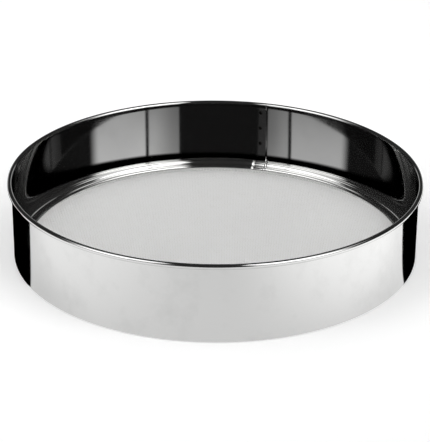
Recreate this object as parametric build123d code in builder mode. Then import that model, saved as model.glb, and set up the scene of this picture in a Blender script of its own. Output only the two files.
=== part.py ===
"""Round drum sieve: a rolled steel hoop with a wired rim, and wire cloth held near its foot.

Every length is in millimetres. The origin is on the hoop's axis, on the plane that the sieve stands
on, with +Z up. The hoop's lap seam is at the back, a little to the +X side of +Y.
"""

import os
from math import cos, pi, radians, sin

from build123d import *

# Driving dimensions
rim_radius = 200.0  # over the wired rim
overall_height = 78.5
sheet = 0.8  # hoop strip
bead_radius = 2.5  # outside of the curled rim
foot_radius = 3.0  # outside of the rolled foot
foot_flat = 1.0  # width that the rolled foot is pressed flat
wire_play = 0.05  # between the rim wire and its curl

# Lap seam, with angles counted anticlockwise from +X
seam_angle = 74.1  # where the outer edge butts against the joggle
lap_angle = 3.0  # how far the inner edge runs on under the outer one
joggle_angle = 1.0
lap_gap = 0.05  # between the two layers, and between the lap and the clamp ring
set_in_margin = 0.9  # the clamp ring steps in this much before the lap and after it
butt_gap_angle = 0.08  # open line where the strip's ends meet

# Wire cloth: 16 wires to the inch, 0.4 mm wire
cloth_pitch = 25.4 / 16
cloth_wire = 0.4
cloth_radius = 194.0
crimp = 1.03  # wire length over cloth length, because each wire waves over and under

# Rings that hold the cloth
ring_sheet = 0.6
ring_inner_radius = 182.5
ring_height = 5.2  # of the clamp ring above the cloth
ring_flange = 1.0  # upright edge of the clamp ring, against the wall
support_setback = 0.5  # of the support ring's inner edge behind the clamp ring's
groove_radius = 189.6
groove_height = 1.5  # of the clamp ring's groove above the cloth
ridge_rise = 1.2  # of each ridge above the straight line across it
ring_lip = 0.7  # width of the clamp ring's inner edge that lies flat on the cloth

# Spot welds through the lap
weld_count = 3
weld_pitch = 17.3
weld_top = 68.3
weld_radius = 1.9
weld_dish = 0.25  # depth of the electrode mark
weld_angle = seam_angle + 1.7
overrun = 1.0  # of a cutting tool past the sheet

# Worked out
wall_inner = rim_radius - 2 * bead_radius
wall_outer = wall_inner + sheet
bead_centre_radius = wall_inner + bead_radius
bead_centre_height = overall_height - bead_radius
foot_outer_centre = wall_outer - foot_radius
foot_inner_centre = foot_outer_centre - foot_flat
foot_top = 2 * foot_radius
cloth_bottom = foot_top + ring_sheet
cloth_top = cloth_bottom + 2 * cloth_wire
lap_mid_radius = wall_inner - lap_gap - sheet / 2
wall_mid_radius = wall_inner + sheet / 2
lap_inner = lap_mid_radius - sheet / 2
lap_foot = foot_top + 0.1
lap_head = bead_centre_height - 1.0
joggle_start = seam_angle - joggle_angle
full_turn = 360 - butt_gap_angle
nugget_length = wall_outer - lap_inner
dish_ball = (weld_radius**2 + weld_dish**2) / (2 * weld_dish)
cloth_sheet = crimp * pi * cloth_wire**2 / 2 / cloth_pitch


def profile_plane(angle):
    """Upright plane through the axis: its x runs outwards at this angle, and its y is up."""
    turn = radians(angle)
    return Plane(
        origin=(0, 0, 0), x_dir=(cos(turn), sin(turn), 0), z_dir=(sin(turn), -cos(turn), 0)
    )


def polar(radius, angle):
    """Point in plan at this radius and angle."""
    return Vector(radius * cos(radians(angle)), radius * sin(radians(angle)))


# Hoop: one strip, from its rolled foot up the wall and over the rim wire
foot_mid = foot_radius - sheet / 2
bead_mid = bead_radius - sheet / 2
foot_end_angle = 62.0  # where the foot's roll ends, close to the wall again
bead_end_angle = -126.0  # where the rim's curl ends, close under the wall

with BuildPart() as hoop_wall:
    with BuildSketch(profile_plane(seam_angle + butt_gap_angle / 2)):
        with BuildLine():
            CenterArc((foot_outer_centre, foot_radius), foot_mid, foot_end_angle, 90 - foot_end_angle)
            Line(
                (foot_outer_centre, foot_radius + foot_mid),
                (foot_inner_centre, foot_radius + foot_mid),
            )
            CenterArc((foot_inner_centre, foot_radius), foot_mid, 90, 180)
            Line(
                (foot_inner_centre, foot_radius - foot_mid),
                (foot_outer_centre, foot_radius - foot_mid),
            )
            CenterArc((foot_outer_centre, foot_radius), foot_mid, 270, 90)
            Line((wall_mid_radius, foot_radius), (wall_mid_radius, bead_centre_height))
            CenterArc(
                (bead_centre_radius, bead_centre_height), bead_mid, 180, bead_end_angle - 180
            )
        trace(line_width=sheet)
    revolve(axis=Axis.Z, revolution_arc=full_turn)

    # The wall beside the butt line, where the strip steps inwards
    with BuildSketch(Plane.XY.offset(lap_foot)):
        with BuildLine():
            window_inner = CenterArc((0, 0), wall_inner - overrun, joggle_start, joggle_angle)
            window_outer = CenterArc((0, 0), wall_outer + overrun, joggle_start, joggle_angle)
            Line(window_inner @ 0, window_outer @ 0)
            Line(window_inner @ 1, window_outer @ 1)
        make_face()
    extrude(amount=overall_height - 2 * bead_radius - lap_foot, mode=Mode.SUBTRACT)

    # The joggle and the lap behind the other end of the strip
    with BuildSketch(Plane.XY.offset(lap_foot)):
        with BuildLine():
            tail = CenterArc((0, 0), wall_mid_radius, joggle_start - joggle_angle, joggle_angle)
            inner_lap = CenterArc((0, 0), lap_mid_radius, seam_angle, lap_angle)
            Spline(tail @ 1, inner_lap @ 0, tangents=(tail % 1, inner_lap % 0))
        trace(line_width=sheet)
    extrude(amount=lap_head - lap_foot)

    # Holes that the weld nuggets fill
    for row in range(weld_count):
        weld_height = weld_top - row * weld_pitch
        weld_spot = polar(lap_inner - overrun, weld_angle) + Vector(0, 0, weld_height)
        with BuildSketch(Plane(origin=weld_spot, z_dir=polar(1, weld_angle))):
            Circle(weld_radius)
        extrude(amount=nugget_length + 2 * overrun, mode=Mode.SUBTRACT)

hoop_wall.part.label = "hoop_wall"

# Rim wire, a round rod bent to a ring inside the curl
with BuildPart() as rim_wire:
    with BuildSketch(profile_plane(seam_angle + butt_gap_angle / 2)):
        with Locations((bead_centre_radius, bead_centre_height)):
            Circle(bead_radius - sheet - wire_play)
    revolve(axis=Axis.Z, revolution_arc=full_turn)

rim_wire.part.label = "rim_wire"

# Weld nuggets, dished at both ends by the electrodes
with BuildPart() as seam_spot_welds:
    for row in range(weld_count):
        weld_height = weld_top - row * weld_pitch
        weld_spot = polar(lap_inner, weld_angle) + Vector(0, 0, weld_height)
        nugget_plane = Plane(origin=weld_spot, z_dir=polar(1, weld_angle))
        with BuildSketch(nugget_plane):
            Circle(weld_radius)
        extrude(amount=nugget_length)
        with Locations(nugget_plane):
            with Locations(
                (0, 0, weld_dish - dish_ball),
                (0, 0, nugget_length - weld_dish + dish_ball),
            ):
                Sphere(dish_ball, mode=Mode.SUBTRACT)

seam_spot_welds.part.label = "seam_spot_welds"

# Support ring, a flat ring that lies on the rolled foot under the cloth
with BuildPart() as support_ring:
    with BuildSketch(Plane.XY.offset(foot_top)):
        Circle(cloth_radius)
        Circle(ring_inner_radius + support_setback, mode=Mode.SUBTRACT)
    extrude(amount=ring_sheet)

support_ring.part.label = "support_ring"

# Wire cloth, as a plain steel sheet of the woven cloth's own weight, level with the cloth's top
with BuildPart() as wire_cloth:
    with BuildSketch(Plane.XY.offset(cloth_top - cloth_sheet)):
        Circle(cloth_radius)
    extrude(amount=cloth_sheet)

wire_cloth.part.label = "wire_cloth"

# Clamp ring, a pressed ring with two ridges and a groove, sprung into the hoop above the cloth
ring_outer = wall_inner - ring_sheet / 2
ring_foot = cloth_top + ring_sheet / 2
ring_top = cloth_top + ring_height
groove_floor = cloth_top + groove_height
set_in = wall_inner - lap_inner + lap_gap  # the ring steps in by this much over the lap
set_in_start = seam_angle - set_in_margin
set_in_angle = lap_angle + 2 * set_in_margin


# Each stretch of the ring as its start, its arc and how far it lies inwards
long_way_round = (set_in_start + set_in_angle, 360 - set_in_angle, 0)
over_the_lap = (set_in_start, set_in_angle, set_in)

with BuildPart() as clamp_ring:
    for start, arc, shift in (long_way_round, over_the_lap):
        with BuildSketch(profile_plane(start)):
            with BuildLine():
                outer_ridge = SagittaArc(
                    (ring_outer - shift, ring_top - ring_flange),
                    (groove_radius - shift, groove_floor),
                    -ridge_rise,
                )
                Line((ring_outer - shift, ring_top), outer_ridge @ 0)
                inner_ridge = SagittaArc(
                    outer_ridge @ 1,
                    (ring_inner_radius + ring_lip - shift, ring_foot),
                    -ridge_rise,
                )
                Line(inner_ridge @ 1, (ring_inner_radius - shift, ring_foot))
            trace(line_width=ring_sheet)
        revolve(axis=Axis.Z, revolution_arc=arc)

clamp_ring.part.label = "clamp_ring"

os.makedirs("parts", exist_ok=True)
export_step(hoop_wall.part, "parts/hoop_wall.step")
export_step(rim_wire.part, "parts/rim_wire.step")
export_step(seam_spot_welds.part, "parts/seam_spot_welds.step")
export_step(support_ring.part, "parts/support_ring.step")
export_step(wire_cloth.part, "parts/wire_cloth.step")
export_step(clamp_ring.part, "parts/clamp_ring.step")
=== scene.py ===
"""Looks of a round drum sieve in bright stainless steel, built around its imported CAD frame."""

import logging
from dataclasses import dataclass, field
from enum import Enum
from math import atan2, cos, degrees, pi, radians, sin, tan
from typing import Any, Callable, Sequence

import bpy
import numpy as np
from bpy.types import Material, Node, NodeSocket, NodeTree, Object
from mathutils import Matrix, Vector


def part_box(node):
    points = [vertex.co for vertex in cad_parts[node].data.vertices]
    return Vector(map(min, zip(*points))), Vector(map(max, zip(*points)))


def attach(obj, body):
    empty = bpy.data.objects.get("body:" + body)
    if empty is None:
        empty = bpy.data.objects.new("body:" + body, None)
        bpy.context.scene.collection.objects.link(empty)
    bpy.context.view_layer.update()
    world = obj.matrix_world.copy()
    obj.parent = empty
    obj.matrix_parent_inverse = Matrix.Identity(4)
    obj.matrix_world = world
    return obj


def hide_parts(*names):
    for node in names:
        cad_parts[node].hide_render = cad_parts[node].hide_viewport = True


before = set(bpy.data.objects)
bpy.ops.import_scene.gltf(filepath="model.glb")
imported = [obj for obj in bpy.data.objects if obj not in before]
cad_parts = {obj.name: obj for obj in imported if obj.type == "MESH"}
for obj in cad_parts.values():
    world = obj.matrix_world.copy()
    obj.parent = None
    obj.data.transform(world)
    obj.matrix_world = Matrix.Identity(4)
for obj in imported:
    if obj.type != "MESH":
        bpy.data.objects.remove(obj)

log = logging.getLogger("sieve")

MM = 0.001
INCH = 25.4 * MM
BODY = "root"

# The wall's unevenness, as sines: size, waves in one turn, phase, and lean with the height
WALL_WAVES = ((1.0, 3, 0.4, 0), (0.7, 7, 2.0, 2), (0.45, 13, 1.1, -3), (0.25, 23, 0.0, 4))

Pair = tuple[float, float]
Shift = Callable[[np.ndarray, np.ndarray], np.ndarray]


# ---- shader graphs


class Graph:
    """Adds nodes to one node tree, with plain numbers or sockets as their inputs."""

    def __init__(self, tree: NodeTree) -> None:
        """Keep the tree that gets the nodes."""
        self.tree = tree

    def node(self, kind: str, inputs: dict[Any, Any] | None = None, **settings: Any) -> Node:
        """Add a node.

        Args:
            kind: The node's type name, without its ShaderNode part.
            inputs: Values or sockets for its inputs, by name or place.
            settings: The node's own settings.

        Returns:
            The new node.
        """
        made = self.tree.nodes.new("ShaderNode" + kind)
        for name, value in settings.items():
            setattr(made, name, value)
        for key, value in (inputs or {}).items():
            if isinstance(value, NodeSocket):
                self.tree.links.new(value, made.inputs[key])
            else:
                made.inputs[key].default_value = value
        return made

    def math(self, operation: str, *values: Any, clamp: bool = False) -> NodeSocket:
        """Add a Math node and give its result, kept from 0 to 1 where clamp is set."""
        made = self.node("Math", dict(enumerate(values)), operation=operation, use_clamp=clamp)
        return made.outputs[0]

    def product(self, first: Any, *others: Any) -> NodeSocket:
        """Multiply two or more values, one after the other."""
        for value in others:
            first = self.math("MULTIPLY", first, value)
        return first

    def place(self) -> NodeSocket:
        """Read the point's place in its object."""
        return self.node("TexCoord").outputs["Object"]

    def step(self, value: Any, low: float, high: float) -> NodeSocket:
        """Rise smoothly from 0 at low to 1 at high, or fall where low is above high."""
        ends = {0: value, 1: min(low, high), 2: max(low, high), 3: float(low > high), 4: float(low <= high)}
        return self.node("MapRange", ends, interpolation_type="SMOOTHSTEP").outputs[0]

    def one_sided(self, shader: Node) -> None:
        """Finish the material with this shader, and clear from behind."""
        back = self.node("NewGeometry").outputs["Backfacing"]
        clear = self.node("BsdfTransparent")
        mix = self.node("MixShader", {0: back, 1: shader.outputs[0], 2: clear.outputs[0]})
        self.node("OutputMaterial", {0: mix.outputs[0]})


def new_group(name: str, inputs: dict[str, float], outputs: Sequence[str]) -> tuple[Graph, Any, Any]:
    """Make an empty shader node group.

    Args:
        name: The group's name.
        inputs: Its number inputs and their values.
        outputs: Its number outputs.

    Returns:
        The group's graph, its input node and its output node.
    """
    tree = bpy.data.node_groups.new(name, "ShaderNodeTree")
    for label, value in inputs.items():
        socket = tree.interface.new_socket(label, in_out="INPUT", socket_type="NodeSocketFloat")
        socket.default_value = value
    for label in outputs:
        tree.interface.new_socket(label, in_out="OUTPUT", socket_type="NodeSocketFloat")
    return Graph(tree), tree.nodes.new("NodeGroupInput"), tree.nodes.new("NodeGroupOutput")


def new_material(name: str) -> tuple[Material, Graph]:
    """Make a material with an empty node tree, and the graph that fills it."""
    made = bpy.data.materials.new(name)
    made.use_nodes = True
    made.node_tree.nodes.clear()
    return made, Graph(made.node_tree)


def rolled_grain_group() -> NodeTree:
    """Make the grain of rolled and polished sheet.

    Fine lines run round the axis: a noise is squeezed hard across them, by height plus radius, and
    barely along them. Softer clouds are where hands and cloths have wiped the sheet.

    Returns:
        The group, with Lines and Clouds from 0 to 1 and a Height.
    """
    graph, given, result = new_group(
        "rolled_grain", {"Line Scale": 2600.0, "Cloud Scale": 22.0}, ("Lines", "Clouds", "Height"))
    place = graph.place()
    split = graph.node("SeparateXYZ", {0: place})
    squares = [graph.math("POWER", split.outputs[axis], 2.0) for axis in (0, 1)]
    radius = graph.math("SQRT", graph.math("ADD", *squares))
    across = graph.product(graph.math("ADD", radius, split.outputs[2]), given.outputs[0])
    along = graph.node("VectorMath", {0: place, "Scale": 9.0}, operation="SCALE")
    parts = graph.node("SeparateXYZ", {0: along.outputs[0]})
    line_place = graph.node("CombineXYZ", {0: parts.outputs[0], 1: parts.outputs[1], 2: across})
    lines = graph.node("TexNoise", {"Vector": line_place.outputs[0], "Scale": 1.0, "Detail": 3.0})
    clouds = graph.node("TexNoise", {"Vector": place, "Scale": given.outputs[1], "Detail": 4.0,
                                     "Roughness": 0.6})
    cloud_rise = 0.4  # the clouds' height as a share of the lines'
    height = graph.math("ADD", lines.outputs[0], graph.product(clouds.outputs[0], cloud_rise))
    for label, value in (("Lines", lines.outputs[0]), ("Clouds", clouds.outputs[0]), ("Height", height)):
        graph.tree.links.new(value, result.inputs[label])
    return graph.tree


def tint_group() -> NodeTree:
    """Make the two-tone colour of steel: its clean colour, darkened a little by a mask.

    Returns:
        The group, with inputs Mask and Depth and a Shade from 0 to 1.
    """
    graph, given, result = new_group("steel_shade", {"Mask": 0.5, "Depth": 0.1}, ("Shade",))
    centred = graph.math("SUBTRACT", given.outputs[0], 0.5)
    shade = graph.math("SUBTRACT", 1.0, graph.product(centred, given.outputs[1]), clamp=True)
    graph.tree.links.new(shade, result.inputs[0])
    return graph.tree


# ---- finishes


@dataclass(frozen=True)
class SteelFinish:
    """A bare steel finish.

    Attributes:
        name: The material's name.
        colour: Reflected colour, linear.
        roughness: Middle roughness.
        roughness_spread: How far the grain moves the roughness.
        shade_depth: How far the clouds darken the colour.
        line_scale: Grain lines for each metre across them.
        cloud_scale: Wiped clouds for each metre.
        relief: Height of the grain, in metres.
    """

    name: str
    colour: tuple[float, float, float]
    roughness: float
    roughness_spread: float
    shade_depth: float
    line_scale: float
    cloud_scale: float
    relief: float

    def material(self) -> Material:
        """Build the material, or find the one already built.

        Returns:
            The material.
        """
        known = bpy.data.materials.get(self.name)
        if known:
            return known
        made, graph = new_material(self.name)
        grain_tree = bpy.data.node_groups.get("rolled_grain") or rolled_grain_group()
        shade_tree = bpy.data.node_groups.get("steel_shade") or tint_group()
        grain = graph.node("Group", {0: self.line_scale, 1: self.cloud_scale}, node_tree=grain_tree)
        shade = graph.node("Group", {"Mask": grain.outputs["Clouds"], "Depth": self.shade_depth},
                           node_tree=shade_tree)
        colour = graph.node("Mix", {0: 1.0, 6: (*self.colour, 1.0), 7: shade.outputs[0]},
                            data_type="RGBA", blend_type="MULTIPLY")
        mask = graph.math("ADD", graph.product(grain.outputs["Lines"], 0.5),
                          graph.product(grain.outputs["Clouds"], 0.5))
        low, high = 0.3, 0.7  # between which the noises mostly lie
        rough = graph.node("MapRange", {
            0: mask, 1: low, 2: high,
            3: self.roughness - self.roughness_spread, 4: self.roughness + self.roughness_spread,
        })
        bump = graph.node("Bump", {
            "Strength": 1.0, "Distance": self.relief, "Height": grain.outputs["Height"],
        })
        steel = graph.node("BsdfPrincipled", {
            "Base Color": colour.outputs[2], "Metallic": 1.0, "Roughness": rough.outputs[0],
            "Normal": bump.outputs[0],
        })
        graph.node("OutputMaterial", {0: steel.outputs[0]})
        return made


class Finish(Enum):
    """The finishes on the sieve."""

    HOOP = SteelFinish(
        "polished_strip", (0.62, 0.62, 0.615), roughness=0.055, roughness_spread=0.02,
        shade_depth=0.22, line_scale=2600.0, cloud_scale=45.0, relief=0.4e-6)
    RING = SteelFinish(
        "pressed_ring", (0.74, 0.74, 0.73), roughness=0.06, roughness_spread=0.02,
        shade_depth=0.10, line_scale=2200.0, cloud_scale=30.0, relief=0.5e-6)
    WIRE = SteelFinish(
        "woven_wire", (0.94, 0.94, 0.93), roughness=0.68, roughness_spread=0.05,
        shade_depth=0.12, line_scale=900.0, cloud_scale=60.0, relief=0.4e-6)
    ROD = SteelFinish(
        "drawn_rod", (0.60, 0.60, 0.59), roughness=0.32, roughness_spread=0.06,
        shade_depth=0.20, line_scale=4000.0, cloud_scale=60.0, relief=0.8e-6)
    WELD = SteelFinish(
        "weld_mark", (0.07, 0.065, 0.06), roughness=0.10, roughness_spread=0.03,
        shade_depth=0.45, line_scale=3000.0, cloud_scale=700.0, relief=4.0e-6)


# ---- meshes


def new_object(name: str, data: Any) -> Object:
    """Make an object of this data and link it to the scene."""
    made = bpy.data.objects.new(name, data)
    bpy.context.scene.collection.objects.link(made)
    return made


@dataclass
class Surface:
    """Points and faces of a mesh.

    Attributes:
        points: One row of x, y and z for each vertex.
        faces: Arrays of faces, each with one number of corners for its rows.
    """

    points: np.ndarray
    faces: list[np.ndarray] = field(default_factory=list)

    def joined(self, other: "Surface") -> "Surface":
        """Return this surface and another as one."""
        moved = [rows + len(self.points) for rows in other.faces]
        return Surface(np.vstack([self.points, other.points]), self.faces + moved)

    def to_object(self, name: str, finish: Finish, crease: float = radians(38)) -> Object:
        """Make the Blender object.

        Args:
            name: The piece's name.
            finish: Its finish.
            crease: Sharpest turn between faces that is still shaded smooth.

        Returns:
            The object, linked to the scene.
        """
        corners = np.concatenate([rows.ravel() for rows in self.faces])
        counts = np.concatenate([np.full(len(rows), rows.shape[1]) for rows in self.faces])
        starts = np.concatenate([[0], np.cumsum(counts)[:-1]])
        mesh = bpy.data.meshes.new(name)
        mesh.vertices.add(len(self.points))
        mesh.vertices.foreach_set("co", np.ascontiguousarray(self.points, np.float32).ravel())
        mesh.loops.add(len(corners))
        mesh.loops.foreach_set("vertex_index", corners.astype(np.int32))
        mesh.polygons.add(len(counts))
        mesh.polygons.foreach_set("loop_start", starts.astype(np.int32))
        mesh.polygons.foreach_set("use_smooth", np.ones(len(counts), bool))
        mesh.update(calc_edges=True)
        mesh.validate()
        mesh.set_sharp_from_angle(angle=crease)
        mesh.materials.append(finish.value.material())
        return new_object(name, mesh)


@dataclass(frozen=True)
class Bend:
    """An arc of a section's middle line.

    Attributes:
        centre: Its centre, as radius from the axis and height.
        radius: Its radius.
        start: Angle where it starts, in degrees.
        turn: Angle that it covers, in degrees, negative for clockwise.
        steps: Number of points.
    """

    centre: Pair
    radius: float
    start: float
    turn: float
    steps: int

    def sampled(self) -> tuple[np.ndarray, np.ndarray]:
        """Sample the arc: centre plus radius times the cosine and sine of the angle.

        Returns:
            The points, and the unit directions along the arc.
        """
        angle = np.radians(self.start + np.linspace(0, self.turn, self.steps))
        out = np.stack([np.cos(angle), np.sin(angle)], 1)
        along = np.stack([-out[:, 1], out[:, 0]], 1) * np.sign(self.turn)
        return np.array(self.centre) + self.radius * out, along


@dataclass(frozen=True)
class Straight:
    """A straight run of a section's middle line.

    Attributes:
        start: Where it starts, as radius from the axis and height.
        end: Where it ends.
        steps: Number of points.
    """

    start: Pair
    end: Pair
    steps: int

    def sampled(self) -> tuple[np.ndarray, np.ndarray]:
        """Sample the run: start plus equal shares of the way to its end.

        Returns:
            The points, and the unit directions along the run.
        """
        way = np.subtract(self.end, self.start)
        share = np.linspace(0, 1, self.steps)[:, None]
        along = np.tile(way / np.linalg.norm(way), (self.steps, 1))
        return np.array(self.start) + share * way, along


def bowed(start: Pair, end: Pair, rise: float, steps: int) -> Bend:
    """Find the arc between two points that bulges to the right of the way there.

    Args:
        start: Where the arc starts.
        end: Where it ends.
        rise: Its height over the middle of the chord, negative for a bulge to the left.
        steps: Number of points.

    Returns:
        The arc.
    """
    chord = np.subtract(end, start)
    half = float(np.linalg.norm(chord)) / 2
    radius = (half**2 + rise**2) / (2 * abs(rise))
    right = np.array([chord[1], -chord[0]]) / (2 * half)
    centre = np.add(start, end) / 2 + right * (rise - np.sign(rise) * radius)
    first = np.subtract(start, centre)
    last = np.subtract(end, centre)
    begin = degrees(atan2(first[1], first[0]))
    turn = degrees(atan2(last[1], last[0])) - begin
    turn = (turn + 180) % 360 - 180
    return Bend((float(centre[0]), float(centre[1])), radius, begin, turn, steps)


def sheet_outline(runs: Sequence[Bend | Straight], thickness: float) -> np.ndarray:
    """Thicken a middle line to the closed outline of a sheet.

    Each point moves half the thickness to its right for the way there, and to its left for the way
    back.

    Args:
        runs: The middle line's arcs and straights in order.
        thickness: The sheet's thickness.

    Returns:
        The outline's points, with point i and the i-th from the end facing each other.
    """
    sampled = [run.sampled() for run in runs]
    points = np.vstack([p for p, _ in sampled])
    along = np.vstack([a for _, a in sampled])
    keep = np.append(True, np.linalg.norm(np.diff(points, axis=0), axis=1) > 1e-7)
    points, along = points[keep], along[keep]
    right = np.stack([along[:, 1], -along[:, 0]], 1) * thickness / 2
    return np.vstack([points + right, (points - right)[::-1]])


def no_shift(angle: np.ndarray, height: np.ndarray) -> np.ndarray:
    """Leave every point at its own radius."""
    return np.zeros(np.broadcast(angle, height).shape)


def carried_round(outline: np.ndarray, angles: np.ndarray, shift: Shift = no_shift,
                  closed: bool = False) -> Surface:
    """Carry a closed outline round the axis.

    A point at radius r and height z goes to (r + shift) times (cos a, sin a), at height z.

    Args:
        outline: Points as radius and height, anticlockwise with the radius to the right.
        angles: The angles of its stations, rising, in radians.
        shift: How far a point moves outwards, by its angle and height.
        closed: Whether the last station joins the first. Otherwise both ends are capped.

    Returns:
        The surface, with its faces outwards.
    """
    stations, corners = len(angles), len(outline)
    angle = angles[:, None]
    radius = outline[None, :, 0] + shift(angle, outline[None, :, 1])
    height = np.broadcast_to(outline[None, :, 1], radius.shape)
    points = np.stack([radius * np.cos(angle), radius * np.sin(angle), height], -1).reshape(-1, 3)
    index = np.arange(stations * corners).reshape(stations, corners)
    here = index if closed else index[:-1]
    beyond = np.roll(index, -1, 0) if closed else index[1:]
    quads = np.stack([here, np.roll(here, -1, 1), np.roll(beyond, -1, 1), beyond], -1)
    faces = [quads.reshape(-1, 4)[:, ::-1]]
    if not closed:
        half = corners // 2
        near, far = np.arange(half), corners - 1 - np.arange(half)
        cap = np.stack([near[:-1], near[1:], far[1:], far[:-1]], -1)
        faces += [index[0][cap], index[-1][cap][:, ::-1]]
    return Surface(points, faces)


def ease(value: np.ndarray) -> np.ndarray:
    """Rise smoothly from 0 to 1 as the value does: 3 v squared less 2 v cubed."""
    held = np.clip(value, 0, 1)
    return held * held * (3 - 2 * held)


def settle(piece: Object, slot: str, *nodes: str) -> Object:
    """Put a finished piece on the body in place of CAD nodes.

    Args:
        piece: The piece.
        slot: Not used.
        nodes: The CAD nodes that it stands for.

    Returns:
        The piece.
    """
    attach(piece, BODY)
    if nodes:
        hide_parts(*nodes)
    return piece


# ---- the sieve


@dataclass
class Hoop:
    """The strip: its rolled foot, wall, lap seam and curled rim, with the rod inside the rim.

    Attributes:
        sheet: Thickness of the strip.
        bead: Radius of the curled rim, outside.
        foot: Radius of the rolled foot, outside.
        foot_flat: Width that the foot is pressed flat.
        seam: Angle of the seam, anticlockwise from +X, in degrees.
        joggle: Angle over which the strip steps in, in degrees.
        lap: Angle that the inner layer runs on behind the outer one, in degrees.
        lap_gap: Gap between the layers.
        butt_gap: Angle left open where the ends meet, in degrees.
        wave: Height of the wall's hand-rolled unevenness.
        step_foot: Height where the joggle starts to step in.
        step_head: How far under the rim's top it has stepped back out.
        step_ease: Height over which it eases in and out.
        lap_foot: Height of the lap layer's lower end.
        lap_head: How far under the rim's top its upper end is.
    """

    sheet: float = 0.8 * MM
    bead: float = 2.5 * MM
    foot: float = 3.0 * MM
    foot_flat: float = 1.0 * MM
    seam: float = 74.1
    joggle: float = 1.0
    lap: float = 3.0
    lap_gap: float = 0.05 * MM
    butt_gap: float = 0.08
    wave: float = 0.035 * MM
    step_foot: float = 6.2 * MM
    step_head: float = 3.2 * MM
    step_ease: float = 3.0 * MM
    lap_foot: float = 8.5 * MM
    lap_head: float = 6.0 * MM

    def __post_init__(self) -> None:
        """Take the outer sizes from the frame."""
        low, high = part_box("hoop_wall")
        self.rim_radius = (high.x - low.x) / 2
        self.height = high.z
        self.wall_inner = self.rim_radius - 2 * self.bead
        self.step_in = self.sheet + self.lap_gap

    def runs(self) -> list[Bend | Straight]:
        """List the section's middle line, from the foot's inner end up to the rim's."""
        foot, bead = self.foot - self.sheet / 2, self.bead - self.sheet / 2
        wall = self.wall_inner + self.sheet / 2
        outer = self.wall_inner + self.sheet - self.foot
        inner = outer - self.foot_flat
        rim = self.height - self.bead
        return [
            Bend((outer, self.foot), foot, start=62, turn=28, steps=6),
            Bend((inner, self.foot), foot, start=90, turn=180, steps=24),
            Bend((outer, self.foot), foot, start=270, turn=90, steps=14),
            Straight((wall, self.foot), (wall, rim), steps=24),
            Bend((self.wall_inner + self.bead, rim), bead, start=180, turn=-306, steps=34),
        ]

    def wall_shift(self, angle: np.ndarray, height: np.ndarray) -> np.ndarray:
        """Work out how far the wall leaves its cylinder.

        It steps in over the later half of the joggle, from past the foot up to under the rim. Everywhere
        it has long low waves, a few sines of angle and height, which die out at the foot and the rim.

        Args:
            angle: Angle round the axis, in radians.
            height: Height over the foot's plane.

        Returns:
            The outward move.
        """
        turns = np.degrees(angle) - (self.seam + 360 - self.joggle)
        above_foot = ease((height - self.step_foot) / self.step_ease)
        under_rim = ease((self.height - self.step_head - height) / self.step_ease)
        rise = above_foot * under_rim
        share = height / self.height
        calm = np.clip(4 * share * (1 - share), 0, 1)
        waves = sum(size * np.sin(count * angle + phase + lean * share)
                    for size, count, phase, lean in WALL_WAVES)
        return waves * calm * self.wave - self.step_in * ease(2 * turns / self.joggle - 1) * rise

    def lap_layer(self) -> Surface:
        """Make the end of the strip that lies inside the lap, a thin curved plate."""
        middle = self.wall_inner + self.sheet / 2 - self.step_in
        upright = Straight((middle, self.lap_foot), (middle, self.height - self.lap_head), steps=30)
        plate = sheet_outline([upright], self.sheet)
        start = self.seam - self.butt_gap / 2
        angles = np.radians(np.linspace(start, self.seam + self.lap, num=14) + 360)
        return carried_round(plate, angles, self.lap_shift)

    def lap_shift(self, angle: np.ndarray, height: np.ndarray) -> np.ndarray:
        """Follow the wall's long waves, without its step."""
        return self.wall_shift(angle - 2 * pi, height)

    def build(self) -> Object:
        """Build the strip as one piece and dress the rod inside its rim.

        Returns:
            The strip's object.
        """
        outline = sheet_outline(self.runs(), self.sheet)
        start, end = self.seam + self.butt_gap / 2, self.seam - self.butt_gap / 2 + 360
        even = np.linspace(start, end, num=420)
        close = np.linspace(end - 1.5 * self.joggle, end, num=24)
        angles = np.radians(np.unique(np.concatenate([even[even < close[0]], close])))
        strip = carried_round(outline, angles, self.wall_shift)
        piece = strip.joined(self.lap_layer()).to_object("hoop", Finish.HOOP)
        dress_node("rim_wire", Finish.ROD)
        return settle(piece, "hoop_steel", "hoop_wall")


def dress_node(node: str, finish: Finish) -> None:
    """Give a CAD node its finish.

    Args:
        node: The node's name.
        finish: The finish.
    """
    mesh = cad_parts[node].data
    mesh.materials.clear()
    mesh.materials.append(finish.value.material())
    log.info("%s: dressed as %s", node, finish.value.name)


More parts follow.
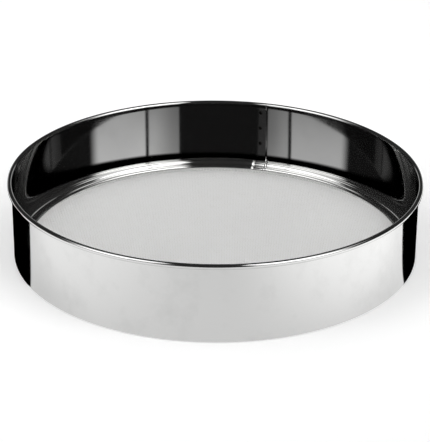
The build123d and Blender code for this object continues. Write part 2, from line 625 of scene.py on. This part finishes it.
@dataclass
class SpotWelds:
    """The spot welds down the lap, each a dished mark with a raised lip on both sides.

    Attributes:
        count: Number of welds.
        radius: Radius of a mark.
        lip: Height of the raised lip over the sheet.
        angle: Angle of their line, anticlockwise from +X, in degrees.
        hollow: Height of the dish's middle, as a share of the lip's.
        shoulder: Share of the radius over which the lip falls off.
        middle: Share of the radius that is a flat spot in the middle.
        rim: How far short of its fall's end the lip stops, as a share.
    """

    count: int = 3
    radius: float = 1.9 * MM
    lip: float = 0.09 * MM
    angle: float = 75.8
    hollow: float = 0.15
    shoulder: float = 0.2
    middle: float = 0.02
    rim: float = 0.05

    def mark(self, height: float, inner: float, outer: float) -> Surface:
        """Make one weld, a disc turned about a radial line.

        Its face is a shallow dish, highest at a rounded lip, the same at both ends: its height follows
        the square of the share of the radius, then falls off over the shoulder.

        Args:
            height: Height of its centre.
            inner: Radius of the lap's inner face.
            outer: Radius of the lap's outer face.

        Returns:
            The closed surface.
        """
        share = np.linspace(self.middle, 1, num=18)
        dish = self.hollow + (1 - self.hollow) * share**2
        face = self.lip * dish * ease((1 - share) / self.shoulder + self.rim)
        across = np.concatenate([share, share[::-1]]) * self.radius
        along = np.concatenate([inner - face, (outer + face)[::-1]])
        turn = np.linspace(0, 2 * pi, num=40, endpoint=False)[:, None]
        tangent, up = across * np.cos(turn), across * np.sin(turn)
        sink = inner - np.sqrt(inner**2 - tangent**2)
        radius = along - sink
        azimuth = radians(self.angle)
        points = np.stack([
            radius * cos(azimuth) - tangent * sin(azimuth),
            radius * sin(azimuth) + tangent * cos(azimuth),
            height + up,
        ], -1)
        rows, columns = points.shape[:2]
        index = np.arange(rows * columns).reshape(rows, columns)
        beyond = np.roll(index, -1, 0)
        quads = np.stack([index[:, :-1], index[:, 1:], beyond[:, 1:], beyond[:, :-1]], -1).reshape(-1, 4)
        return Surface(points.reshape(-1, 3), [quads[:, ::-1], index[None, :, 0], index[None, ::-1, -1]])

    def build(self, hoop: Hoop) -> Object:
        """Build every weld as one piece. Each moves with the wall's long waves.

        Args:
            hoop: The hoop that they join.

        Returns:
            The piece.
        """
        low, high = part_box("seam_spot_welds")
        heights = np.linspace(low.z + self.radius, high.z - self.radius, self.count)
        inner = hoop.wall_inner - hoop.step_in
        outer = hoop.wall_inner + hoop.sheet
        waves = hoop.wall_shift(np.full(self.count, radians(self.angle)), heights)
        marks = [self.mark(height, inner + moved, outer + moved)
                 for height, moved in zip(heights.tolist(), waves.tolist())]
        whole = marks[0]
        for mark in marks[1:]:
            whole = whole.joined(mark)
        return settle(whole.to_object("weld_marks", Finish.WELD), "weld_steel", "seam_spot_welds")


@dataclass
class Rings:
    """The pressed clamp ring over the cloth and the flat support ring under it.

    Attributes:
        sheet: Thickness of both rings.
        flange: Height of the clamp ring's upright edge.
        groove_radius: Radius of the groove between its ridges.
        groove_height: Height of the groove over the cloth.
        rise: Height of each ridge over its chord.
        lip: Width of the inner edge that lies flat on the cloth.
        margin: Angle before and after the lap where it is stepped in, in degrees.
        ease_share: Share of the margin over which it eases in and out.
        close_by: Angle beyond the margin where its stations are close together, in degrees.
    """

    sheet: float = 0.6 * MM
    flange: float = 1.0 * MM
    groove_radius: float = 189.6 * MM
    groove_height: float = 1.5 * MM
    rise: float = 1.2 * MM
    lip: float = 0.7 * MM
    margin: float = 0.9
    ease_share: float = 0.8
    close_by: float = 0.3

    def section(self) -> np.ndarray:
        """Work out the clamp ring's outline from the wall to its inner lip."""
        low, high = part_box("clamp_ring")
        outer = high.x - self.sheet / 2
        inner = inner_radius("clamp_ring")
        groove = (self.groove_radius, low.z + self.groove_height)
        foot = low.z + self.sheet / 2
        return sheet_outline([
            Straight((inner, foot), (inner + self.lip, foot), steps=3),
            bowed((inner + self.lip, foot), groove, -self.rise, steps=18),
            bowed(groove, (outer, high.z - self.flange), -self.rise, steps=18),
            Straight((outer, high.z - self.flange), (outer, high.z), steps=3),
        ], self.sheet)

    def build(self, hoop: Hoop) -> Object:
        """Build the clamp ring and dress the support ring.

        Args:
            hoop: The hoop that holds them.

        Returns:
            The clamp ring.
        """
        start, end = hoop.seam - self.margin, hoop.seam + hoop.lap + self.margin
        depth = hoop.step_in + hoop.lap_gap

        def over_the_lap(angle: np.ndarray, height: np.ndarray) -> np.ndarray:
            """Step in over the lap, easing in and out over the margin."""
            turned = np.degrees(angle) % 360
            length = self.ease_share * self.margin
            inside = ease((turned - start) / length) * ease((end - turned) / length)
            return -depth * inside + 0 * height

        even = np.linspace(0, 360, num=560, endpoint=False)
        close = np.linspace(start - self.close_by, end + self.close_by, num=60)
        spare = 0.2  # degrees between the close stations and the even ones
        apart = even[(even < close[0] - spare) | (even > close[-1] + spare)]
        angles = np.radians(np.sort(np.concatenate([apart, close])))
        ring = carried_round(self.section(), angles, over_the_lap, closed=True)
        piece = ring.to_object("clamp_ring_pressed", Finish.RING, crease=radians(50))
        dress_node("support_ring", Finish.RING)
        return settle(piece, "ring_steel", "clamp_ring")


def inner_radius(node: str) -> float:
    """Find the least distance of a CAD node's points from the axis.

    Args:
        node: The node's name.

    Returns:
        The distance over the node's even stretch, away from the seam's side.
    """
    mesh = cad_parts[node].data
    flat = np.empty(len(mesh.vertices) * 3, np.float32)
    mesh.vertices.foreach_get("co", flat)
    places = flat.reshape(-1, 3)
    front = places[places[:, 1] < 0]
    return float(np.hypot(front[:, 0], front[:, 1]).min())


@dataclass
class WireCloth:
    """Plain-woven square cloth, each wire its own tube that waves over and under.

    Attributes:
        pitch: Distance between wires.
        wire: Diameter of a wire.
        sides: Number of sides of a tube.
        pieces: Number of pieces that each direction is split into.
        inset: How far the cut edge stays inside the CAD sheet's edge.
    """

    pitch: float = INCH / 16
    wire: float = 0.4 * MM
    sides: int = 6
    pieces: int = 3
    inset: float = 0.3 * MM

    def __post_init__(self) -> None:
        """Take the place of the cloth from the frame."""
        low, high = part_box("wire_cloth")
        self.radius = (high.x - low.x) / 2 - self.inset
        self.middle = high.z - self.wire

    def wires(self, crosswise: bool) -> Surface:
        """Weave all wires of one direction.

        At crossing (i, j) of a square grid, a wire's centre is half a wire above the cloth's middle where
        i + j is even, and half a wire below where it is odd. The other direction's wires do the
        opposite. A tube is a ring of points at each crossing, joined to the next.

        Args:
            crosswise: Whether the wires run along Y instead of X.

        Returns:
            The surface, with its wires in order.
        """
        count = int(2 * self.radius / self.pitch)
        offsets = (np.arange(count) - (count - 1) / 2) * self.pitch
        side, along = np.meshgrid(offsets, offsets, indexing="ij")
        inside = np.hypot(side, along) <= self.radius
        number = np.cumsum(inside).reshape(inside.shape) - 1
        parity = 1 - 2 * (np.add.outer(np.arange(count), np.arange(count)) % 2)
        lift = parity[inside] * self.wire / 2 * (-1 if crosswise else 1)
        angle = 2 * pi * (np.arange(self.sides) + 0.5) / self.sides
        half = self.wire / 2
        out = side[inside][:, None] + half * np.cos(angle)
        up = self.middle + lift[:, None] + half * np.sin(angle)
        run = np.broadcast_to(along[inside][:, None], out.shape)
        order = (out, run, up) if crosswise else (run, out, up)
        points = np.stack(order, -1).reshape(-1, 3)
        joined = inside[:, :-1] & inside[:, 1:]
        here, beyond = number[:, :-1][joined], number[:, 1:][joined]
        rim = np.arange(self.sides)
        first = here[:, None] * self.sides + rim
        last = beyond[:, None] * self.sides + rim
        quads = np.stack([first, np.roll(first, -1, 1), np.roll(last, -1, 1), last], -1).reshape(-1, 4)
        starts = number[inside & ~np.roll(inside & (along < offsets[-1]), 1, 1)]
        ends = number[inside & ~np.roll(inside & (along > offsets[0]), -1, 1)]
        caps = [starts[:, None] * self.sides + rim, ends[:, None] * self.sides + rim[::-1]]
        faces = [quads, *caps]
        if crosswise:
            return Surface(points, [rows[:, ::-1] for rows in faces])
        return Surface(points, faces)

    def parted(self, whole: Surface, name: str) -> list[Object]:
        """Split one direction's wires into pieces of equal weight, wire by wire.

        Args:
            whole: The surface of all wires, in order.
            name: The pieces' name, before their number.

        Returns:
            The pieces.
        """
        starts = np.sort(whole.faces[1].min(1))
        share = np.searchsorted(starts, np.arange(self.pieces + 1) * len(whole.points) / self.pieces)
        cuts = np.append(starts, len(whole.points))[share]
        made = []
        for place in range(self.pieces):
            low, high = cuts[place], cuts[place + 1]
            faces = [rows[(rows[:, 0] >= low) & (rows[:, 0] < high)] - low for rows in whole.faces]
            part = Surface(whole.points[low:high], faces)
            made.append(part.to_object(f"{name}_{place + 1}", Finish.WIRE, crease=radians(80)))
        return made

    def build(self) -> list[Object]:
        """Build the cloth in both directions.

        Returns:
            Its pieces.
        """
        made = self.parted(self.wires(False), "weft_wires") + self.parted(self.wires(True), "warp_wires")
        for piece in made:
            settle(piece, "cloth_steel", "wire_cloth")
        return made


# ---- the studio


@dataclass(frozen=True)
class Panel:
    """A tall soft light panel, far off, that stands beside the camera.

    Attributes:
        side: Which side it stands on, 1 for +X and -1 for -X.
        near: Azimuth of its edge towards the camera's side, in degrees from -Y.
        far: Azimuth of its other edge.
        light: Its strength.
        cut: Least distance from the plane between the panels, as a sine, which keeps its top clear.
        fade: Half the width of its soft far edge, in degrees.
        start: Share of its light at the near edge, from where it rises to the far one.
    """

    side: int
    near: float
    far: float
    light: float
    cut: float
    fade: float = 0.6
    start: float = 1.0


@dataclass
class Studio:
    """The pale floor, the soft lights and the camera.

    Attributes:
        floor_size: Side of the floor.
        panels: The light panels.
        low: Elevation of the panels' lower edge, in degrees.
        high: Elevation of their upper edge.
        end_edge: Width of their soft lower and upper edges.
        near_edge: Half the width of their soft near edges.
        cut_edge: Half the width of the soft edge at their cut, as a sine.
        dark: Strength of the room around them.
        backdrop: Strength of the low pale backdrop behind the sieve.
        overhead: Strength of two soft lights, high up left and right.
        lower_share: Share of the panels' light under their slope.
        slope: Elevations between which they grow brighter.
        deep_share: Share of light left from the third mirroring on.
        backdrop_near: Azimuths between which the backdrop fades in.
        backdrop_top: Elevations between which it fades in, downwards.
        overhead_low: Elevations between which the high lights fade in.
        overhead_apart: Distances from the plane between them where they fade in, as sines.
        overhead_back: Distances behind the axis where they fade in, forwards, as sines.
        lamp_power: Power of the overhead lamp, in watts.
        lamp_size: Its diameter.
        lamp_place: Its place.
        paper_glow: Brightness that the floor adds to its own colour where it is seen.
        painted_flag_front: Where the front edges of the two painted dark flag patches start, beside the
            hoop's flanks.
        painted_flag_skew: How far forward the left patch lies, and back the right one, for each metre aside.
        painted_flag_turn: Turn of those edges from the X axis towards the Y axis, in degrees.
        painted_flag_back: How far back the painted patches reach.
        painted_flag_edges: Half the width of their soft edges, front and inner, and back.
        paper: Share of light that the floor scatters.
        paper_for_steel: The same, as the steel sees it.
        steel_glow: The paper's own painted light as the steel sees it: added left, middle, added right.
        side_reach: Distances to either side between which it rises.
        painted_penumbra: How much less it is right beside a painted flag patch, a painted penumbra, and how
            far off that starts.
        far_glow: How much more the seen floor glows far off.
        far_reach: Distances between which that rises.
        plate_radius: Radius of the dark plate, a painted dark reflection that only the steel sees.
        plate_clear: Radii between which its mirroring fades in.
        plate_aside: How far the middle of those lies to +X.
        plate_over: Height of the plate over the cloth's middle.
        plate_gloss: Share of light that it mirrors.
    """

    floor_size: float = 12.0
    panels: tuple[Panel, ...] = (
        Panel(1, 21.8, 40.4, 2.25, 0.165, start=0.5),
        Panel(1, 42.4, 77.0, 2.58, 0.165, fade=4.0),
        Panel(-1, 25.6, 30.6, 0.17, 0.27),
        Panel(-1, 31.2, 44.0, 1.62, 0.27, start=0.62),
        Panel(-1, 46.0, 83.0, 2.1, 0.27, fade=4.0),
    )
    low: float = 4.0
    high: float = 80.0
    end_edge: float = 2.0
    near_edge: float = 0.6
    cut_edge: float = 0.008
    dark: float = 0.03
    backdrop: float = 0.5
    overhead: float = 1.0
    lower_share: float = 0.3
    slope: Pair = (19.0, 24.0)
    deep_share: float = 0.15
    backdrop_near: Pair = (146.0, 152.0)
    backdrop_top: Pair = (16.0, 10.0)
    overhead_low: Pair = (35.0, 45.0)
    overhead_apart: Pair = (0.30, 0.42)
    overhead_back: Pair = (0.30, 0.15)
    lamp_power: float = 10.0
    lamp_size: float = 2.2
    lamp_place: tuple[float, float, float] = (-0.35, 0.3, 1.4)
    paper_glow: float = 0.33
    painted_flag_front: Pair = (176 * MM, -86 * MM)
    painted_flag_skew: float = 0.025
    painted_flag_turn: float = 37.0
    painted_flag_back: float = 160 * MM
    painted_flag_edges: Pair = (1 * MM, 20 * MM)
    paper: float = 0.8
    paper_for_steel: float = 0.22
    steel_glow: tuple[float, float, float] = (0.31, 0.74, 0.54)
    side_reach: Pair = (0.02, 0.30)
    painted_penumbra: Pair = (0.22, 0.09)
    far_glow: float = 0.6
    far_reach: Pair = (0.8, 4.0)
    plate_radius: float = 182.3 * MM
    plate_clear: Pair = (169 * MM, 162 * MM)
    plate_aside: float = 4 * MM
    plate_over: float = 0.7 * MM
    plate_gloss: float = 0.3

    def world(self) -> None:
        """Light the room with tall panels and two high lights, left and right. The camera sees white.

        Azimuth is counted from the camera's side to either hand, elevation from the horizon. Panels and
        high lights are dim from the third mirroring on, which keeps the hoop's flanks dark inside.
        """
        world = bpy.data.worlds.new("studio")
        bpy.context.scene.world = world
        world.use_nodes = True
        world.node_tree.nodes.clear()
        graph = Graph(world.node_tree)
        way = graph.node("SeparateXYZ", {0: graph.node("TexCoord").outputs["Generated"]})
        azimuth = graph.product(graph.math(
            "ARCTAN2", way.outputs[0], graph.product(way.outputs[1], -1.0)), 180 / pi)
        elevation = graph.product(graph.math("ARCSINE", way.outputs[2]), 180 / pi)
        path = graph.node("LightPath")
        shallow = graph.step(path.outputs["Glossy Depth"], 2.9, 2.1)  # 1 up to the second mirroring
        dimmed = graph.math("ADD", graph.product(shallow, 1 - self.deep_share), self.deep_share)
        above = graph.step(elevation, self.low - self.end_edge, self.low)
        below = graph.step(elevation, self.high + self.end_edge, self.high)
        tall = graph.product(above, below, dimmed)
        sloped = graph.product(graph.step(elevation, *self.slope), 1 - self.lower_share)
        upwards = graph.math("ADD", sloped, self.lower_share)
        strength: Any = self.dark
        for panel in self.panels:
            turned = graph.product(azimuth, float(panel.side))
            rise = graph.step(turned, panel.near - self.near_edge, panel.near + self.near_edge)
            fall = graph.step(turned, panel.far + panel.fade, panel.far - panel.fade)
            clear = graph.step(graph.product(way.outputs[0], float(panel.side)),
                               panel.cut - self.cut_edge, panel.cut + self.cut_edge)
            across = graph.step(turned, panel.near, panel.far)
            share = graph.math("ADD", graph.product(across, 1.0 - panel.start), panel.start)
            lit = graph.product(rise, fall, tall, clear, share, upwards, panel.light)
            strength = graph.math("MAXIMUM", lit, strength)
        behind = graph.step(graph.math("ABSOLUTE", azimuth), *self.backdrop_near)
        pale = graph.product(behind, graph.step(elevation, *self.backdrop_top), self.backdrop)
        apart = graph.step(graph.math("ABSOLUTE", way.outputs[0]), *self.overhead_apart)
        before = graph.step(way.outputs[1], *self.overhead_back)
        over = graph.product(graph.step(elevation, *self.overhead_low), apart, dimmed, before, self.overhead)
        strength = graph.math("MAXIMUM", pale, graph.math("MAXIMUM", over, strength))
        room = graph.node("Background", {"Color": (1, 1, 1, 1), "Strength": strength})
        white = graph.node("Background", {"Color": (1, 1, 1, 1), "Strength": 1.0})
        seen = path.outputs["Is Camera Ray"]
        mix = graph.node("MixShader", {0: seen, 1: room.outputs[0], 2: white.outputs[0]})
        graph.node("OutputWorld", {0: mix.outputs[0]})

    def staged(self, name: str, points: np.ndarray, faces: list[list[int]]) -> Object:
        """Add a stage object.

        Args:
            name: Its name.
            points: Its points.
            faces: Its faces.

        Returns:
            The object.
        """
        mesh = bpy.data.meshes.new(name)
        mesh.from_pydata(points.tolist(), [], faces)
        made = new_object(name, mesh)
        return made

    def floor(self) -> None:
        """Lay the floor, nearly white where it is seen, with the sieve's shadow. It is clear from below.

        For the steel only, two dark flag patches are painted on it beside the hoop, a painted shade that
        the hoop's flanks mirror. Each starts at the hoop's flank, and its front edge runs outwards and back
        in a straight line, with a painted penumbra in front of it. Between them the paper glows for the
        steel, a painted light a little brighter to the sides than in the middle. Where it is seen, it glows
        more the farther it is.
        """
        half = self.floor_size / 2
        corners = np.array([(-half, -half, 0), (half, -half, 0), (half, half, 0), (-half, half, 0)], float)
        floor = self.staged("floor", corners, [[0, 1, 2, 3]])
        made, graph = new_material("floor_paper")
        place = graph.node("SeparateXYZ", {0: graph.place()})
        side = graph.math("ABSOLUTE", place.outputs[0])
        # Painted shade: two dark flag patches on the floor, seen only by the steel, so that the hoop's
        # flanks mirror dark.
        beyond = graph.math("MAXIMUM", graph.math("SUBTRACT", side, self.painted_flag_front[0]), 0.0)
        edge = graph.math("ADD", graph.product(beyond, tan(radians(self.painted_flag_turn))), self.painted_flag_front[1])
        skewed = graph.math("SUBTRACT", place.outputs[1], graph.product(place.outputs[0], self.painted_flag_skew))
        over_edge = graph.math("SUBTRACT", skewed, edge)
        sharp, soft = self.painted_flag_edges
        behind = graph.step(over_edge, -sharp, sharp)
        before = graph.step(place.outputs[1], self.painted_flag_back + soft, self.painted_flag_back - soft)
        outside = graph.step(side, self.painted_flag_front[0] - sharp, self.painted_flag_front[0] + sharp)
        painted_flags = graph.product(behind, before, outside)
        # Painted light: the paper glows only for the steel's rays, brighter to the sides than in the middle.
        start, end = self.side_reach
        left_glow, middle_glow, right_glow = self.steel_glow
        right = graph.product(graph.step(place.outputs[0], start, end), right_glow)
        left = graph.product(graph.step(place.outputs[0], -start, -end), left_glow)
        paper_light = graph.math("ADD", graph.math("ADD", right, left), middle_glow)
        lit_paper = graph.math("SUBTRACT", 1.0, painted_flags)
        # Painted penumbra: the paper's light for the steel dims just in front of each painted flag patch.
        shade_depth, shade_reach = self.painted_penumbra
        painted_penumbra_loss = graph.product(graph.step(over_edge, -shade_reach, 0.0), shade_depth)
        paper_light = graph.math("SUBTRACT", paper_light, painted_penumbra_loss)
        path = graph.node("LightPath")
        for_steel = path.outputs["Is Glossy Ray"]
        for_eye = graph.math("MAXIMUM", path.outputs["Is Camera Ray"], path.outputs["Is Transmission Ray"])
        away = graph.node("VectorMath", {0: graph.place()}, operation="LENGTH")
        far_glow = graph.product(graph.step(away.outputs["Value"], *self.far_reach), self.far_glow)
        seen_glow = graph.math("ADD", far_glow, self.paper_glow)
        steel_light = graph.product(for_steel, lit_paper, paper_light)
        glow_level = graph.math("ADD", graph.product(for_eye, seen_glow), steel_light)
        shade_loss = graph.product(for_steel, graph.math(
            "SUBTRACT", self.paper, graph.product(lit_paper, self.paper_for_steel)))
        shade = graph.math("SUBTRACT", self.paper, shade_loss)
        colour = graph.node("CombineXYZ", {0: shade, 1: shade, 2: shade})
        paper = graph.node("BsdfDiffuse", {"Color": colour.outputs[0]})
        glow = graph.node("Emission", {"Color": (1, 1, 1, 1), "Strength": glow_level})
        graph.one_sided(graph.node("AddShader", {0: paper.outputs[0], 1: glow.outputs[0]}))
        floor.data.materials.append(made)

    def dark_plate(self, middle: float) -> None:
        """Lay a dark mirror plate over the cloth, a painted dark reflection: the steel wall mirrors the
        panels in it, dimmed, in place of the cloth.

        Only the steel sees it, and only from above. Near its edge it is black, a painted shade in the
        wall's mirroring.

        Args:
            middle: Height of the cloth's middle.
        """
        radius, height = self.plate_radius, middle + self.plate_over
        angle = np.linspace(0, 2 * pi, num=128, endpoint=False)
        points = np.stack([radius * np.cos(angle), radius * np.sin(angle), np.full_like(angle, height)], -1)
        plate = self.staged("dark_plate", points, [list(range(len(points)))])
        plate.visible_camera = plate.visible_diffuse = plate.visible_transmission = False
        plate.visible_shadow = plate.visible_volume_scatter = False
        made, graph = new_material("painted_dark_reflection")
        aside = (self.plate_aside, 0, 0)
        moved = graph.node("VectorMath", {0: graph.place(), 1: aside}, operation="SUBTRACT")
        out = graph.node("VectorMath", {0: moved.outputs[0]}, operation="LENGTH")
        # Painted shade: the plate mirrors nothing near its edge and a dim share of the panels inside.
        level = graph.product(graph.step(out.outputs["Value"], *self.plate_clear), self.plate_gloss)
        colour = graph.node("CombineXYZ", {0: level, 1: level, 2: level})
        graph.one_sided(graph.node("BsdfGlossy", {"Color": colour.outputs[0], "Roughness": 0.05}))
        plate.data.materials.append(made)

    def lamp(self) -> None:
        """Hang a wide soft lamp over the sieve. It lights the floor, and the steel doesn't mirror it."""
        light = bpy.data.lights.new("overhead", "AREA")
        light.shape = "DISK"
        light.size = self.lamp_size
        light.energy = self.lamp_power
        hung = new_object("overhead", light)
        hung.location = self.lamp_place
        hung.visible_glossy = False

    def camera(self, target: Vector) -> None:
        """Place the camera.

        It stands in front, looks down at the sieve, aims a little below the middle of the rim, and
        leans a third of a degree.

        Args:
            target: Middle of the rim's plane.
        """
        distance, fall, aim, roll = 1.7469, radians(23.37), radians(1.408), radians(0.368)
        lens = bpy.data.cameras.new("camera")
        lens.sensor_width = 36.0
        lens.lens = 147.5
        lens.clip_start, lens.clip_end = 0.05, 40.0
        made = new_object("camera", lens)
        back = Vector((0, -cos(fall), sin(fall)))
        ahead = Vector((0, cos(fall + aim), -sin(fall + aim)))
        turn = ahead.to_track_quat("-Z", "Y").to_matrix() @ Matrix.Rotation(roll, 3, "Z")
        made.matrix_world = Matrix.Translation(target + back * distance) @ turn.to_4x4()
        bpy.context.scene.camera = made


def main() -> None:
    """Build the sieve and its studio."""
    logging.basicConfig(level=logging.INFO, format="%(name)s: %(message)s")
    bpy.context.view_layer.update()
    bpy.context.scene.view_settings.view_transform = "Standard"

    hoop = Hoop()
    cloth = WireCloth()
    pieces = [hoop.build(), SpotWelds().build(hoop), Rings().build(hoop), *cloth.build()]
    for piece in pieces:
        log.info("%s: %d faces", piece.name, len(piece.data.polygons))

    studio = Studio()
    studio.world()
    studio.floor()
    studio.dark_plate(cloth.middle)
    studio.lamp()
    studio.camera(Vector((0, 0, hoop.height - hoop.bead)))


if __name__ == "__main__":
    main()
